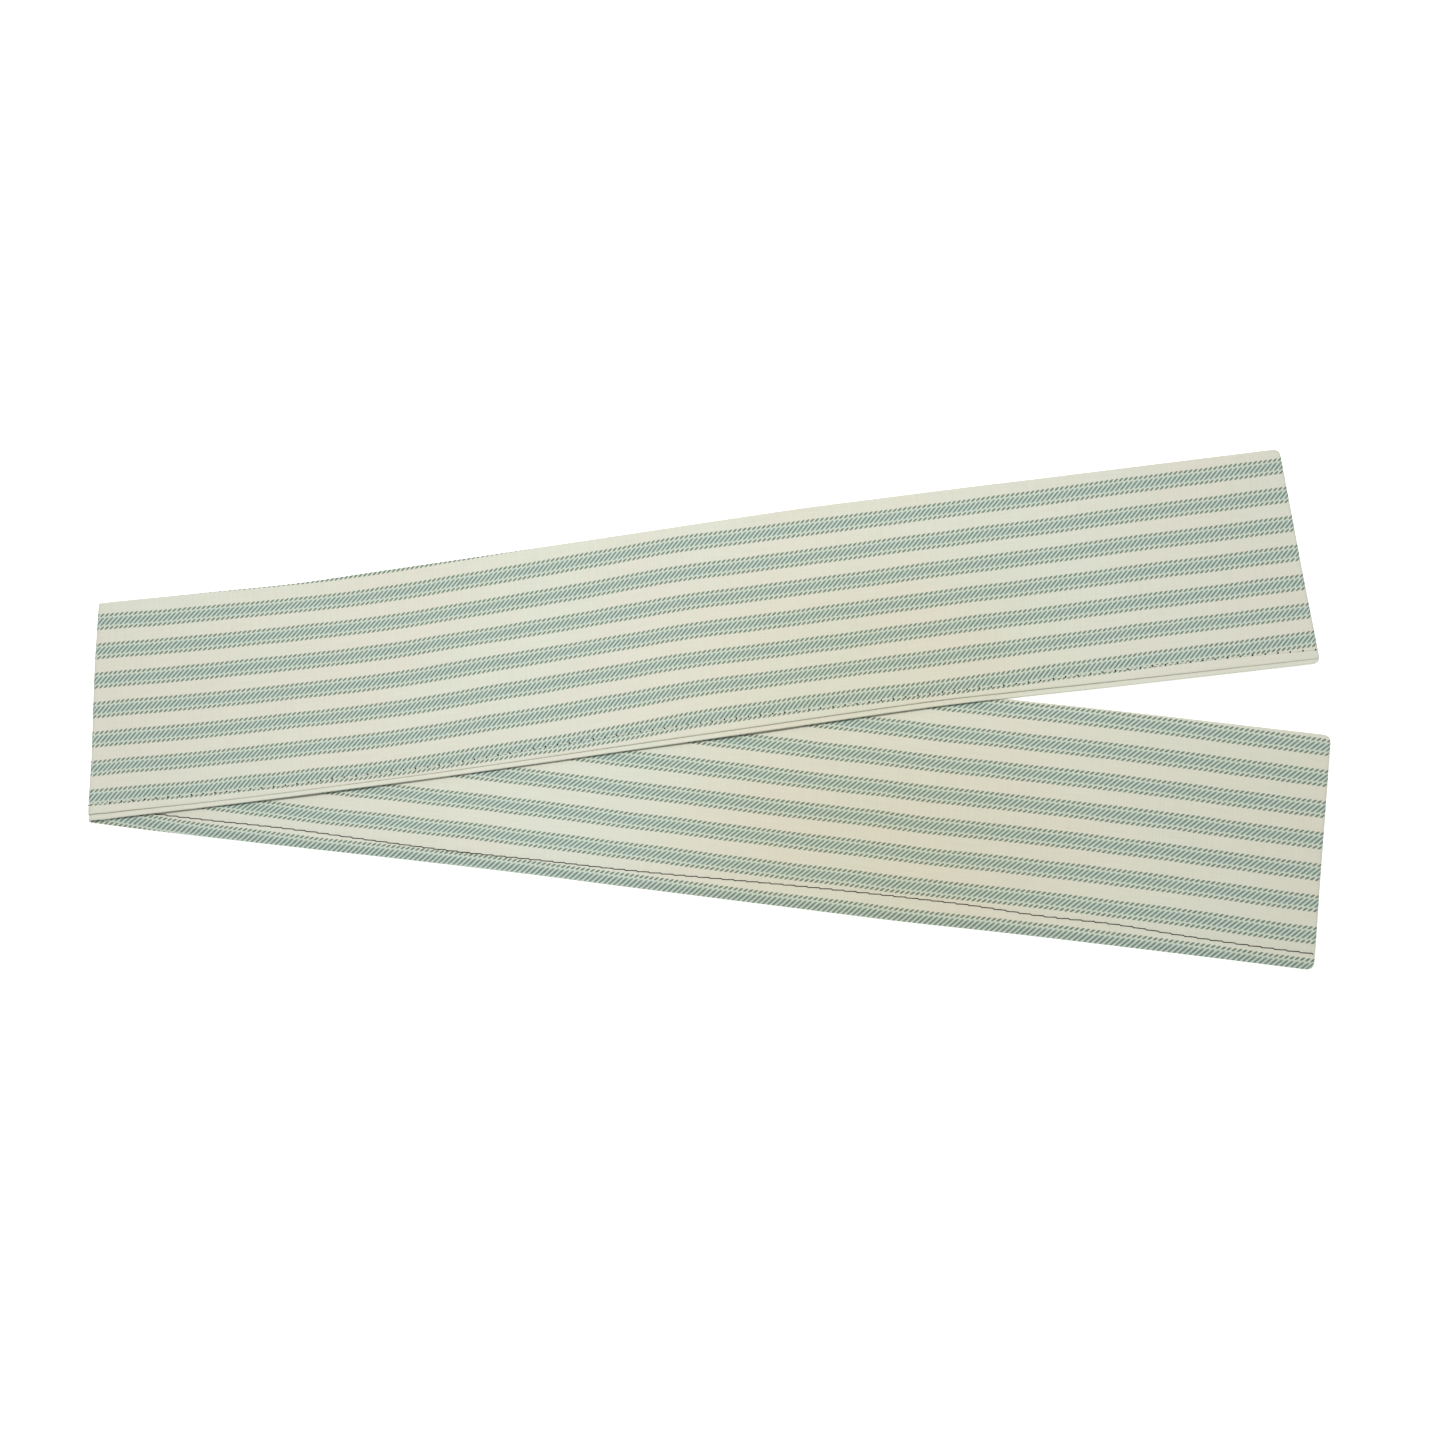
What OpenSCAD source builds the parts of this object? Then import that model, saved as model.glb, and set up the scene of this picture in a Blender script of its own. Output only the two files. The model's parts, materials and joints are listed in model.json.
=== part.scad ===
// Narrow table runner, folded in half crosswise with the two halves fanned apart.
//
// One cut piece of striped ticking is folded lengthwise, sewn across both ends,
// turned right side out and closed along its open long edge by one line of
// topstitching. So each half of the runner is two plies: the outer ply (ply 1)
// lies outside at the centre fold, the inner ply (ply 2) lies inside it.
//
// Frame: millimetres, +Z up, +X from the centre fold towards the open ends, the
// fold line along Y. The origin is at the middle of the footprint, on the surface
// that the runner lies on.

/* [Runner] */
// Finished length when opened out flat
runner_len = 1016; // [700:2:1800]
// Finished width
runner_w = 94; // [70:1:300]
// How far the fold lies off the middle, towards the shorter upper half
fold_offset = 2; // [0:0.5:10]
// Radius of the turned corners at the two ends
corner_r = 3; // [1:0.5:8]

/* [Lay] */
// Angle between the lower half and the upper half, seen from above
lay_angle = 13.9; // [6:0.1:30]
// Air between the lower half and the upper half
half_gap = 0.3; // [0.3:0.1:2]

/* [Cloth] */
// Thickness of one ply
ply_t = 0.45; // [0.3:0.05:0.8]
// Air between the two plies of a half
ply_gap = 0.3; // [0.3:0.05:0.6]
// Air between the turned-in layers at the stitched edge
layer_gap = 0.1; // [0.1:0.05:0.2]
// Depth of the turned-in allowances
allowance = 10; // [9:0.5:14]
// How far ply 2 stands out beyond ply 1 along the stitched edge
edge_step = 1.8; // [1:0.1:3]

/* [Stitching] */
// Stitch length of the long topstitch
stitch_len = 5; // [3:0.1:6]
// Distance of the topstitch from the stitched edge
stitch_inset = 7.4; // [5:0.1:8.5]
// Stitch length of the hidden end seams
seam_stitch_len = 2.5; // [2:0.1:4]
// Width of a thread as it lies on the cloth
thread_w = 0.4; // [0.3:0.05:0.5]
// Depth to which a thread beds into the cloth
thread_h = 0.2; // [0.15:0.05:0.25]

/* [Hidden] */

// Half of the angle between the halves: each half leans this far off X
half_ang = lay_angle / 2;
// Thickness at the stitched edge, where each ply is turned in: four layers
seam_h = 4 * ply_t + 3 * layer_gap;
// Thickness elsewhere: two plies
body_h = 2 * ply_t + ply_gap;
// Height of the hinge line, half-way up the folded stack
hinge_z = seam_h + half_gap / 2;
// Cloth used up by the bend, along the middle of the two plies
bend_len = PI * (hinge_z - body_h / 2);
// Length of each half along its middle, from the plane of the hinge line
lower_len = (runner_len - bend_len) / 2 + fold_offset;
upper_len = (runner_len - bend_len) / 2 - fold_offset;
// Each half starts this far from the plane of the hinge line, so that the two
// halves do not meet when the runner is opened
hinge_gap = 0.2;
// Steps in each small turned edge
turn_steps = 8;

// Footprint, measured from the hinge line, to put the origin at its middle
x_min = hinge_gap - hinge_z;
x_max = (lower_len - corner_r) * cos(half_ang)
      + (runner_w / 2 - corner_r) * sin(half_ang) + corner_r;
y_max = (upper_len - corner_r) * sin(half_ang)
      + (runner_w / 2 - corner_r) * cos(half_ang) + corner_r;
y_min = -(lower_len - corner_r) * sin(half_ang)
      - (runner_w / 2 - corner_r) * cos(half_ang) - corner_r;

// ---- cross-section of one half ------------------------------------------
// p runs across the runner from the stitched edge to the lengthwise fold, q is
// the height above the outer face of ply 1.

// Points on an arc from angle a0 to a1
function arc(cp, cq, r, a0, a1) =
    [for (i = [0:turn_steps])
        let (a = a0 + (a1 - a0) * i / turn_steps) [cp + r * cos(a), cq + r * sin(a)]];

// Radius of the middle of a turned edge, and of the lengthwise fold
r_turn = (ply_t + layer_gap) / 2;
r_fold = (ply_t + ply_gap) / 2;
ramp_lo = edge_step + allowance + 4.6;
ramp_hi = edge_step + allowance + 1.2;

// Middle line of the cloth all the way round: raw edge turned in, ply 1, the
// lengthwise fold, ply 2, raw edge turned in
cloth_line = concat(
    [[edge_step + allowance, 1.5 * ply_t + layer_gap]],
    arc(edge_step + ply_t + layer_gap / 2, ply_t + layer_gap / 2, r_turn, 90, 270),
    arc(runner_w - ply_t - ply_gap / 2, ply_t + ply_gap / 2, r_fold, -90, 90),
    [[ramp_lo, 1.5 * ply_t + ply_gap], [ramp_hi, seam_h - ply_t / 2]],
    arc(ply_t + layer_gap / 2, seam_h - ply_t - layer_gap / 2, r_turn, 90, 270),
    [[allowance, 2.5 * ply_t + 2 * layer_gap]]
);

// Unit normal at point i of a line
function dir(a, b) = (b - a) / norm(b - a);
function nrm(pts, i) =
    let (n = len(pts),
         d0 = i > 0 ? dir(pts[i - 1], pts[i]) : dir(pts[0], pts[1]),
         d1 = i < n - 1 ? dir(pts[i], pts[i + 1]) : dir(pts[n - 2], pts[n - 1]),
         d = dir([0, 0], d0 + d1)) [-d[1], d[0]];
function side(pts, w) = [for (i = [0:len(pts) - 1]) pts[i] + w * nrm(pts, i)];
function reversed(l) = [for (i = [len(l) - 1:-1:0]) l[i]];

// The cloth as a closed outline of thickness ply_t
cloth_section = concat(side(cloth_line, ply_t / 2), reversed(side(cloth_line, -ply_t / 2)));

// Everything inside the outer faces, as at the ends, where the end allowances
// fill the space between the plies
full_section = concat(
    [[edge_step + 0.5 * ply_t, seam_h - 2 * ply_t - layer_gap],
     [edge_step + 0.5 * ply_t, 2 * ply_t + layer_gap]],
    arc(edge_step + ply_t + layer_gap / 2, ply_t + layer_gap / 2, r_turn + ply_t / 2, 90, 270),
    arc(runner_w - ply_t - ply_gap / 2, ply_t + ply_gap / 2, r_fold + ply_t / 2, -90, 90),
    [[ramp_lo, body_h], [ramp_hi, seam_h]],
    arc(ply_t + layer_gap / 2, seam_h - ply_t - layer_gap / 2, r_turn + ply_t / 2, 90, 270)
);

// ---- plan outline of one half --------------------------------------------
// u runs along the half from the plane of the hinge line, v across it.
// lean is +1 for the lower half and -1 for the upper half.
module plan(len_u, lean) {
    w2 = runner_w / 2;
    uf = function(v) (hinge_gap - lean * v * sin(half_ang)) / cos(half_ang);
    difference() {
        polygon([[uf(-w2), -w2], [len_u, -w2], [len_u, w2], [uf(w2), w2]]);
        for (s = [-1, 1])
            difference() {
                translate([len_u - corner_r, s > 0 ? w2 - corner_r : -w2])
                    square([corner_r + 1, corner_r]);
                translate([len_u - corner_r, s * (w2 - corner_r)])
                    circle(r = corner_r, $fn = 48);
            }
    }
}

// A length of the section, from u0 to u1, ply 1 downwards
module run(section, u0, u1) {
    translate([u0, -runner_w / 2, 0])
        rotate([90, 0, 90])
            linear_extrude(u1 - u0) polygon(section);
}

// Distance of each hidden end-seam thread from the end, and its height
seam_needle_in = 1.1;
seam_bobbin_in = 1.9;
seam_q = 0.4;
seam_fit = 0.02;
seam_v0 = -runner_w / 2 + edge_step + 2;
seam_v1 = runner_w / 2 - 3;

// Slot for one end-seam thread inside the end allowances
module seam_slot(len_u, inset) {
    w = thread_w + 2 * seam_fit;
    translate([len_u - inset - w / 2, seam_v0 - seam_fit, seam_q])
        cube([w, seam_v1 - seam_v0 + 2 * seam_fit, thread_w + seam_fit]);
}

// One half of the cloth, lying with ply 1 down
module half_cloth(len_u, lean) {
    groove_w = thread_w + 0.24;
    v_st = -runner_w / 2 + stitch_inset;
    difference() {
        intersection() {
            union() {
                run(cloth_section, -20, len_u - allowance);
                run(full_section, len_u - allowance, len_u + 1);
            }
            translate([0, 0, -1]) linear_extrude(seam_h + 2) plan(len_u, lean);
        }
        // bed of the needle thread, in the outer face of ply 1
        translate([-21, v_st - groove_w / 2, -1])
            cube([len_u + 30, groove_w, 1 + thread_h]);
        // bed of the bobbin thread, in the outer face of ply 2
        translate([-21, v_st - groove_w / 2, seam_h - thread_h])
            cube([len_u + 30, groove_w, 1]);
        seam_slot(len_u, seam_needle_in);
        seam_slot(len_u, seam_bobbin_in);
    }
}

// ---- threads ---------------------------------------------------------------
// The topstitch begins a little past the fold and runs to the end
function st_start(lean) =
    (hinge_gap + lean * (runner_w / 2 - stitch_inset) * sin(half_ang)) / cos(half_ang) + 1;

// Needle thread: proud in the middle of each stitch, low at each needle hole
module needle_line(u0, u1, pitch, low, high) {
    n = floor((u1 - u0) / pitch);
    prof = concat(
        [[u0, 0]],
        [for (i = [0:n - 1]) each [
            [u0 + i * pitch, low],
            [u0 + (i + 0.12) * pitch, high],
            [u0 + (i + 0.88) * pitch, high]]],
        [[u0 + n * pitch, low], [u0 + n * pitch, 0]]);
    translate([0, thread_w / 2, 0])
        rotate([90, 0, 0]) linear_extrude(thread_w) polygon(prof);
}

// Bobbin thread: pulled nearly straight, with a small kink at each needle hole
module bobbin_line(u0, u1, pitch) {
    n = floor((u1 - u0) / pitch);
    kink = 0.1;
    w = thread_w / 2 - 0.02;
    prof = concat(
        [for (i = [0:n - 1]) each [
            [u0 + i * pitch, -w + kink],
            [u0 + (i + 0.15) * pitch, -w],
            [u0 + (i + 0.85) * pitch, -w]]],
        [[u0 + n * pitch, -w + kink], [u0 + n * pitch, w + kink]],
        [for (i = [n - 1:-1:0]) each [
            [u0 + (i + 0.85) * pitch, w],
            [u0 + (i + 0.15) * pitch, w],
            [u0 + i * pitch, w + kink]]]);
    linear_extrude(thread_h) polygon(prof);
}

module half_needle_thread(len_u, lean) {
    translate([0, -runner_w / 2 + stitch_inset, thread_h])
        mirror([0, 0, 1])
            needle_line(st_start(lean), len_u - 1, stitch_len, thread_h * 0.4, thread_h);
}

module half_bobbin_thread(len_u, lean) {
    translate([0, -runner_w / 2 + stitch_inset, seam_h - thread_h])
        bobbin_line(st_start(lean), len_u - 1, stitch_len);
}

module end_seam_thread(len_u, inset) {
    translate([len_u - inset, seam_v0, seam_q])
        rotate([0, 0, 90])
            needle_line(0, seam_v1 - seam_v0, seam_stitch_len, thread_w * 0.5, thread_w);
}

// ---- placing ---------------------------------------------------------------
module at_origin() {
    translate([-(x_min + x_max) / 2, -(y_min + y_max) / 2, 0]) children();
}

module lower_place() {
    at_origin() rotate([0, 0, -half_ang]) children();
}

// The upper half is the same build turned over, so ply 1 is on top
module upper_place() {
    at_origin() translate([0, 0, 2 * hinge_z]) mirror([0, 0, 1])
        rotate([0, 0, half_ang]) children();
}

// ---- sub-parts -------------------------------------------------------------
module lower_half_cloth() {
    color([0.89, 0.87, 0.80]) lower_place() half_cloth(lower_len, 1);
}

module upper_half_cloth() {
    color([0.87, 0.86, 0.79]) upper_place() half_cloth(upper_len, -1);
}

// The cloth where it turns back over itself: the section of a half carried
// round in a half turn, from the start of one half to the start of the other
module centre_fold_cloth() {
    // the section is a little longer along the hinge line than across the runner
    k = 1 / cos(half_ang);
    bend = [for (c = cloth_section) [hinge_z - c[1], (c[0] - runner_w / 2) * k]];
    color([0.84, 0.84, 0.77]) at_origin()
        translate([hinge_gap, 0, hinge_z])
            rotate([-90, 0, 0]) rotate([0, 0, 90])
                rotate_extrude(angle = 180, $fn = 96) polygon(bend);
}

module lower_half_needle_thread() {
    color([0.86, 0.83, 0.73]) lower_place() half_needle_thread(lower_len, 1);
}

module lower_half_bobbin_thread() {
    color([0.27, 0.29, 0.25]) lower_place() half_bobbin_thread(lower_len, 1);
}

module upper_half_needle_thread() {
    color([0.86, 0.83, 0.73]) upper_place() half_needle_thread(upper_len, -1);
}

module upper_half_bobbin_thread() {
    color([0.27, 0.29, 0.25]) upper_place() half_bobbin_thread(upper_len, -1);
}

module lower_end_seam_needle_thread() {
    color([0.86, 0.83, 0.73]) lower_place() end_seam_thread(lower_len, seam_needle_in);
}

module lower_end_seam_bobbin_thread() {
    color([0.27, 0.29, 0.25]) lower_place() end_seam_thread(lower_len, seam_bobbin_in);
}

module upper_end_seam_needle_thread() {
    color([0.86, 0.83, 0.73]) upper_place() end_seam_thread(upper_len, seam_needle_in);
}

module upper_end_seam_bobbin_thread() {
    color([0.27, 0.29, 0.25]) upper_place() end_seam_thread(upper_len, seam_bobbin_in);
}

lower_half_cloth();
centre_fold_cloth();
upper_half_cloth();
lower_half_needle_thread();
lower_half_bobbin_thread();
upper_half_needle_thread();
upper_half_bobbin_thread();
lower_end_seam_needle_thread();
lower_end_seam_bobbin_thread();
upper_end_seam_needle_thread();
upper_end_seam_bobbin_thread();
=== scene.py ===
import json
import math

import bpy
import numpy as np
from mathutils import Matrix, Vector


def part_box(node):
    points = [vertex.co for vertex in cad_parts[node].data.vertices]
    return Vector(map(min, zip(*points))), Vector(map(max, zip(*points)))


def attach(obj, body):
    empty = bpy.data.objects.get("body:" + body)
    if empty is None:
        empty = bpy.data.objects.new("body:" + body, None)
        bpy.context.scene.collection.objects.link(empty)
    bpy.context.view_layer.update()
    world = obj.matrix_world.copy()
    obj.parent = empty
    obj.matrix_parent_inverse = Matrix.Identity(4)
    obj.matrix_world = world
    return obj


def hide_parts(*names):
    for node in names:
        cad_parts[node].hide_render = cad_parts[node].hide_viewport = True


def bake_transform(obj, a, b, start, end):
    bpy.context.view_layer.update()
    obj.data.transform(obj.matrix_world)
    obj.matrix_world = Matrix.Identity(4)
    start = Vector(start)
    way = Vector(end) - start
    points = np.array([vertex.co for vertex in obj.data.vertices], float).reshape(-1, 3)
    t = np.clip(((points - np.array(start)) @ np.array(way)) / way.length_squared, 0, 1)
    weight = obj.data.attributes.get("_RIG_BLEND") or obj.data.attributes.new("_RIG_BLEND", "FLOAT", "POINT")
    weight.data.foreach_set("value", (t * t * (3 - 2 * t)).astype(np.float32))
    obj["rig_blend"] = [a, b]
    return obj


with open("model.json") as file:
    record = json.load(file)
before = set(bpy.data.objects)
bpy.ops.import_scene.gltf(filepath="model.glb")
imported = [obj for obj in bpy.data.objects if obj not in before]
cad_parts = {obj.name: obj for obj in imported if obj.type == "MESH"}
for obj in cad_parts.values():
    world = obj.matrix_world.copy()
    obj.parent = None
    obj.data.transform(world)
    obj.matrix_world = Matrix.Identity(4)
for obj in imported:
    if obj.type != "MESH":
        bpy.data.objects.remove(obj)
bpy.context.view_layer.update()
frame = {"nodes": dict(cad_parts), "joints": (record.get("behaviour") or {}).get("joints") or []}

MM = 0.001

# --------------------------------------------------------------------------
# Dimensions repeated from the CAD design, in millimetres
# --------------------------------------------------------------------------
RUN_L, RUN_W, FOLD_OFF, CORNER_R = 1016.0, 94.0, 2.0, 3.0
BETA = math.radians(13.9 / 2)
PLY, PLY_GAP, LAY_GAP, ALLOW, STEP = 0.45, 0.3, 0.1, 10.0, 1.8
SEAM_H = 4 * PLY + 3 * LAY_GAP
BODY_H = 2 * PLY + PLY_GAP
HINGE_Z = SEAM_H + 0.15
BEND = math.pi * (HINGE_Z - BODY_H / 2)
LOWER_LEN = (RUN_L - BEND) / 2 + FOLD_OFF
UPPER_LEN = (RUN_L - BEND) / 2 - FOLD_OFF
HGAP = 0.2

hinge = [j for j in frame["joints"] if j["name"] == "centre_fold"][0]
HX, HY = hinge["pos_m"][0] / MM, 0.242
FOLD_LOW, FOLD_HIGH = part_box("centre_fold_cloth")

CB, SB, TB = math.cos(BETA), math.sin(BETA), math.tan(BETA)
# developed distance from the middle of the bend to each end, along the middle
S_LO = -(LOWER_LEN * CB - HGAP + BEND / 2) / CB
S_HI = (UPPER_LEN * CB - HGAP + BEND / 2) / CB
# the topstitch starts and stops just inside the ends: 203 stitches of 5 mm
STITCH_0, N_STITCH = S_LO + 0.8, 203
STITCH = (S_HI - 0.8 - STITCH_0) / N_STITCH


def mm(*v):
    return Vector([x * MM for x in v])


# --------------------------------------------------------------------------
# Camera, set first: a little in front of straight down
# --------------------------------------------------------------------------
def set_camera():
    pitch, roll, yaw = math.radians(12.15), math.radians(0.64), math.radians(5.39)
    rx = Matrix.Rotation(pitch, 3, "X")
    rz = Matrix.Rotation(roll, 3, "Z")
    ry = Matrix.Rotation(yaw, 3, "Y")
    rot = ry @ rx @ rz
    cam = bpy.data.cameras.new("camera")
    cam.sensor_width = 36.0
    cam.lens = 2400.0 * 36.0 / 1445.0
    cam.clip_start, cam.clip_end = 0.05, 20.0
    ob = bpy.data.objects.new("camera", cam)
    bpy.context.scene.collection.objects.link(ob)
    pos = mm(357.5 + FOLD_LOW.x / MM, -215.1 + HY, 962.8 + 1.8)
    ob.matrix_world = Matrix.Translation(pos) @ rot.to_4x4()
    bpy.context.scene.camera = ob


set_camera()


# --------------------------------------------------------------------------
# Curves along the runner, given as knots. u is the distance from the centre fold
# along a half; all values are millimetres.
# --------------------------------------------------------------------------
def curve(knots):
    k = np.array(knots, float)
    x, y = k[:, 0], k[:, 1]
    sl = np.diff(y) / np.diff(x)
    m = np.zeros_like(y)
    m[0], m[-1] = sl[0] * 0.5, sl[-1]
    m[1:-1] = (sl[:-1] * np.diff(x)[1:] + sl[1:] * np.diff(x)[:-1]) / (x[2:] - x[:-2])

    def f(t):
        t = np.clip(np.asarray(t, float), x[0], x[-1])
        i = np.clip(np.searchsorted(x, t, side="right") - 1, 0, len(x) - 2)
        h = x[i + 1] - x[i]
        a = (t - x[i]) / h
        return ((2 * a**3 - 3 * a**2 + 1) * y[i] + (a**3 - 2 * a**2 + a) * h * m[i]
                + (-2 * a**3 + 3 * a**2) * y[i + 1] + (a**3 - a**2) * h * m[i + 1])
    return f


# where the lengthwise-fold edge and the stitched edge lie across the half
EDGE_F_UP = curve([(0, 93.9), (45, 92.7), (90, 91.7), (130, 92.4), (180, 93.1), (225, 93.9),
                   (270, 94.7), (310, 95.2), (350, 94.8), (400, 94.4), (450, 93.9), (506, 93.3)])
EDGE_S_UP = curve([(0, 0.0), (55, -0.6), (130, -0.4), (180, 0.2), (230, 0.9), (275, 1.4),
                   (310, 2.2), (350, 2.8), (385, 2.6), (415, 2.0), (450, 1.5), (506, 0.8)])
EDGE_F_LO = curve([(0, 93.9), (60, 94.7), (200, 95.3), (330, 95.6), (440, 95.6), (510, 95.1)])
EDGE_S_LO = curve([(0, 0.2), (40, 0.0), (80, 0.1), (135, 0.5), (195, 0.6), (235, 0.2), (300, -0.2),
                   (350, -0.5), (385, -0.1), (440, 0.0), (510, -0.3)])
# the topstitch, measured from the stitched edge
STITCH_UP = curve([(0, 6.7), (45, 5.9), (75, 5.2), (100, 5.3), (145, 5.1), (190, 6.6), (240, 7.2), (280, 7.0),
                   (315, 5.9), (350, 5.8), (380, 5.8), (410, 6.5), (450, 6.8), (480, 6.5), (506, 5.7)])
STITCH_LO = curve([(0, 6.9), (60, 6.9), (90, 7.1), (130, 6.1), (165, 5.6), (200, 6.1), (240, 6.7),
                   (275, 7.8), (310, 8.9), (345, 9.5), (375, 9.2), (400, 8.2), (435, 8.2),
                   (455, 7.2), (485, 6.4), (510, 6.2)])
# how far ply 2 stands out beyond ply 1 at the stitched edge
STEP_UP = curve([(0, 2.5), (60, 2.0), (130, 2.0), (250, 2.3), (450, 2.2), (506, 1.9)])
# the stripe pattern's place at the lengthwise fold
PAT_UP = curve([(0, 8.3), (40, 9.4), (85, 9.9), (130, 10.8), (165, 10.0), (195, 9.5), (225, 8.7),
                (255, 7.9), (285, 8.6), (315, 9.0), (350, 9.0), (405, 8.6), (440, 8.0), (475, 7.9), (506, 7.6)])
DRAW_UP = curve([(0, 0.0), (40, -0.2), (60, -0.4), (85, -0.1), (110, 0.0), (130, 0.0), (150, 0.2), (180, 0.5),
                 (205, 1.1), (235, 1.1), (260, 0.8), (285, 0.1), (300, 0.1), (325, 0.4), (350, 1.1), (375, 0.9),
                 (400, 0.3), (430, 0.1), (470, -0.4), (506, -0.9)])
PAT_LO = curve([(0, 8.4), (70, 8.4), (110, 8.0), (135, 8.3), (180, 8.5), (230, 8.4), (260, 8.3), (280, 8.2),
                (305, 8.2), (330, 8.4), (355, 8.2), (380, 8.3), (430, 8.3), (455, 8.1), (480, 7.7), (510, 7.3)])


def both(lo, up, s):
    s = np.asarray(s, float)
    return np.where(s < 0, lo(-s), up(s))


def sstep(a, b, x):
    t = np.clip((np.asarray(x, float) - a) / (b - a), 0, 1)
    return t * t * (3 - 2 * t)


def stack_h(p):
    """Height of a half's layers, p across from the stitched edge."""
    return SEAM_H - (SEAM_H - BODY_H) * sstep(STEP + ALLOW + 0.6, STEP + ALLOW + 26.0, p)


def bend_r(p):
    """Outer radius of the bend at the centre fold: bulkier over the seam."""
    return HINGE_Z - 0.5 * sstep(8.0, 44.0, p)


def stitch_p(s):
    s = np.asarray(s, float)
    return both(STITCH_LO, STITCH_UP, s)


def plan(s, p):
    """Across position, measured from the middle of the half."""
    es, ef = both(EDGE_S_LO, EDGE_S_UP, s), both(EDGE_F_LO, EDGE_F_UP, s)
    return -RUN_W / 2 + es + (ef - es) * p / RUN_W


def run_out(s, p):
    """The ends are not cut quite square, and the fold line is not quite square
    to the runner either: a small shift along the length."""
    f = np.clip(np.asarray(p, float) / RUN_W, 0, 1)
    hi = (0.35 + 1.6 * (1 - f)) * sstep(330, S_HI, s)
    lo = (0.9 + 0.75 * (1 - f)) * sstep(330, -S_LO, -np.asarray(s, float))
    return hi - lo


def fold_in(s, p):
    return -(0.5 * sstep(18, 46, p) + 1.5 * sstep(12, 76, p)) * (1 - sstep(3, 90, np.abs(s)))


def corners(s, p):
    """Rounds the two corners of each end."""
    s, p = np.array(s, float), np.array(p, float)
    for end, sign in ((S_LO, -1.0), (S_HI, 1.0)):
        a = np.clip((s - end) * sign / CORNER_R + 1.0, 0, 1)
        for edge, dirn in ((0.0, 1.0), (RUN_W, -1.0)):
            b = np.clip(1.0 - (p - edge) * dirn / CORNER_R, 0, 1)
            on = (a > 0) & (b > 0)
            na = a * np.sqrt(1 - b * b / 2)
            nb = b * np.sqrt(1 - a * a / 2)
            s = np.where(on, end + sign * (na - 1) * CORNER_R, s)
            p = np.where(on, edge + dirn * (1 - nb) * CORNER_R, p)
    return s, p


# --------------------------------------------------------------------------
# How the cloth lies: small lifts of the lower half, and the upper half let
# down over it until it rests
# --------------------------------------------------------------------------
def lift_lo(s, p):
    u = -np.asarray(s, float)
    f = sstep(15, 70, u)
    w = (0.26 * np.sin(u / 37.0 + p / 55.0) + 0.17 * np.sin(u / 19.0 - p / 31.0 + 1.3)
         + 0.12 * np.sin(u / 61.0 + p / 17.0 + 0.4))
    return f * np.clip(0.10 + w, 0, None)


def wave_up(s, p):
    u = np.asarray(s, float)
    f = sstep(15, 80, u)
    w = (0.34 * np.sin(u / 41.0 - p / 47.0 + 0.6) + 0.22 * np.sin(u / 23.0 + p / 29.0 + 2.1)
         + 0.14 * np.sin(u / 13.0 - p / 61.0))
    return f * w


def where_up(s, p):
    v = plan(s, p)
    d, e = s * CB - v * SB, s * SB + v * CB
    return d - BEND / 2, e


G = 2.0
GS = np.arange(-12.0, S_HI + G, G)
GP = np.arange(0.0, RUN_W + 0.1, G)


def settle():
    s, p = np.meshgrid(GS, GP, indexing="ij")
    x, y = where_up(s, p)
    # the same place in the lower half's own coordinates
    d = -(x + BEND / 2)
    ls, lv = d * CB + y * SB, -d * SB + y * CB
    lp = lv + RUN_W / 2
    inside = sstep(-1.5, 1.0, lp) * sstep(RUN_W + 1.5, RUN_W - 1.0, lp) * (ls > S_LO)
    low = inside * (stack_h(lp) + lift_lo(ls, np.clip(lp, 0, RUN_W)) + 0.12)
    h = stack_h(p)
    floor = low + h / 2
    start = 2 * bend_r(p) - h / 2
    m = np.where(x <= 0, start, floor + 0.6)
    fixed = x <= 0
    for _ in range(1400):
        q = np.pad(m, 1, mode="edge")
        avg = (q[:-2, 1:-1] + q[2:, 1:-1] + q[1:-1, :-2] + q[1:-1, 2:]) / 4
        m = np.where(fixed, start, np.maximum(avg - 0.006, floor))
    # the folded cloth springs up a little beyond the bend
    spring = (2.3 * sstep(0, 22, s) * (1 - 0.85 * sstep(34, 120, s)) * (1 - sstep(140, 230, s))
              * (1 - 0.55 * p / RUN_W))
    # no higher than the bend, so that the opened half clears the table
    m = np.minimum(m + wave_up(s, p) + spring, 2 * HINGE_Z + 0.12 - h / 2)
    # soften, then keep it off what is below
    for _ in range(6):
        q = np.pad(m, 1, mode="edge")
        avg = (q[:-2, 1:-1] + q[2:, 1:-1] + q[1:-1, :-2] + q[1:-1, 2:]) / 4
        m = np.where(fixed, start, np.maximum(avg, floor))
    return m


REST_UP = settle()


def mid_up(s, p):
    fs = np.clip((s - GS[0]) / G, 0, len(GS) - 1.001)
    fp = np.clip(p / G, 0, len(GP) - 1.001)
    i, j = fs.astype(int), fp.astype(int)
    a, b = fs - i, fp - j
    m = REST_UP
    return (m[i, j] * (1 - a) * (1 - b) + m[i + 1, j] * a * (1 - b)
            + m[i, j + 1] * (1 - a) * b + m[i + 1, j + 1] * a * b)


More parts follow.
